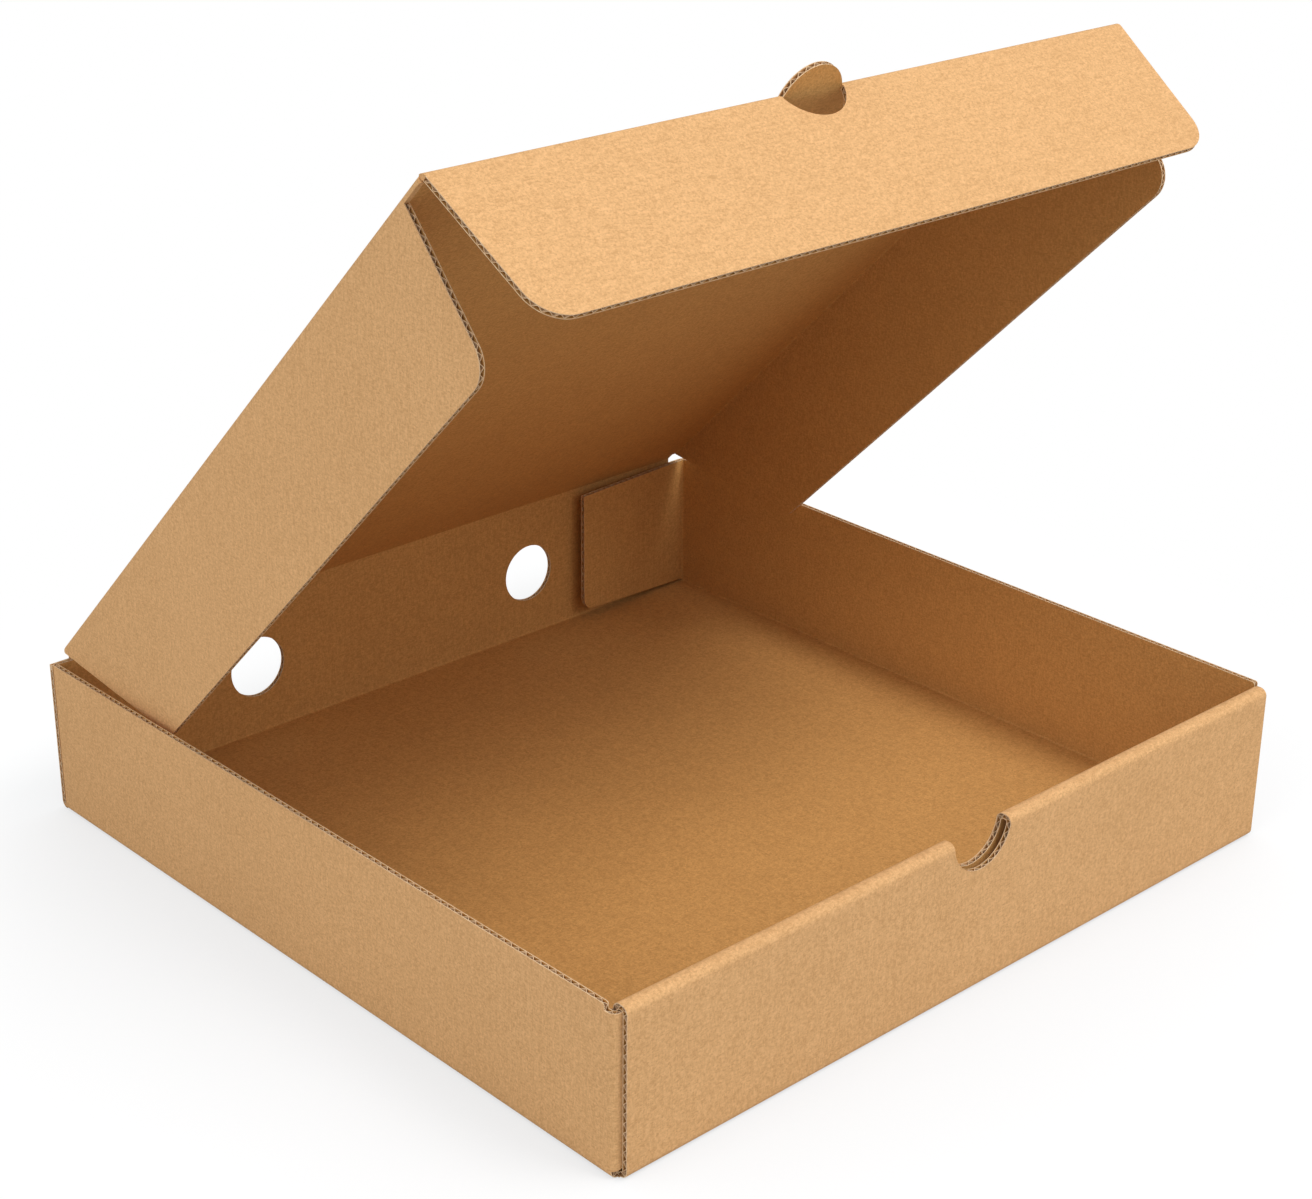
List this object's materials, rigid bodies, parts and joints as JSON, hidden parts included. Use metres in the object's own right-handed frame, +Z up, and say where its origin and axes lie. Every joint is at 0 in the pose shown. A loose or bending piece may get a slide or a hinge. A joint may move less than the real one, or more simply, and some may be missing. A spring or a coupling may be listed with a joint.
{
  "type": "pizza box",
  "caption": "Square corrugated pizza box with rolled front wall, finger notch, round rear vents and a hinged lid with folding flaps and a thumb tab.",
  "frame": {"origin": "middle of the tray's underside, on the surface it rests on", "axes": "+Z up, -Y towards the rolled front wall with the finger notch, +X to the right seen from the front"},
  "size_m": [0.254, 0.25, 0.2342],
  "materials": {
    "tray_board": "matt kraft corrugated board",
    "lid_board": "matt kraft corrugated board",
    "front_flap_board": "matt kraft corrugated board",
    "side_flap_board": "matt kraft corrugated board"
  },
  "bodies": {
    "tray": {"tray": "tray_board"},
    "lid": {"lid": "lid_board"},
    "front_flap": {"lid_front_flap": "front_flap_board"},
    "left_flap": {"lid_left_flap": "side_flap_board"},
    "right_flap": {"lid_right_flap": "side_flap_board"}
  },
  "joints": [
    {"name": "lid_hinge", "type": "hinge", "parent": "tray", "child": "lid", "pos_m": [0, 0.1238, 0.0493], "axis": [-1, 0, 0], "range_deg": [-45, 135]},
    {"name": "front_flap_fold", "type": "hinge", "parent": "lid", "child": "front_flap", "pos_m": [0, -0.0546, 0.2277], "axis": [-1, 0, 0], "range_deg": [-10, 80]},
    {"name": "left_flap_fold", "type": "hinge", "parent": "lid", "child": "left_flap", "pos_m": [-0.1218, 0.1238, 0.0493], "axis": [0, 0.7071, -0.7071], "range_deg": [0, 90]},
    {"name": "right_flap_fold", "type": "hinge", "parent": "lid", "child": "right_flap", "pos_m": [0.1218, 0.1238, 0.0493], "axis": [0, -0.7071, 0.7071], "range_deg": [0, 90]}
  ]
}
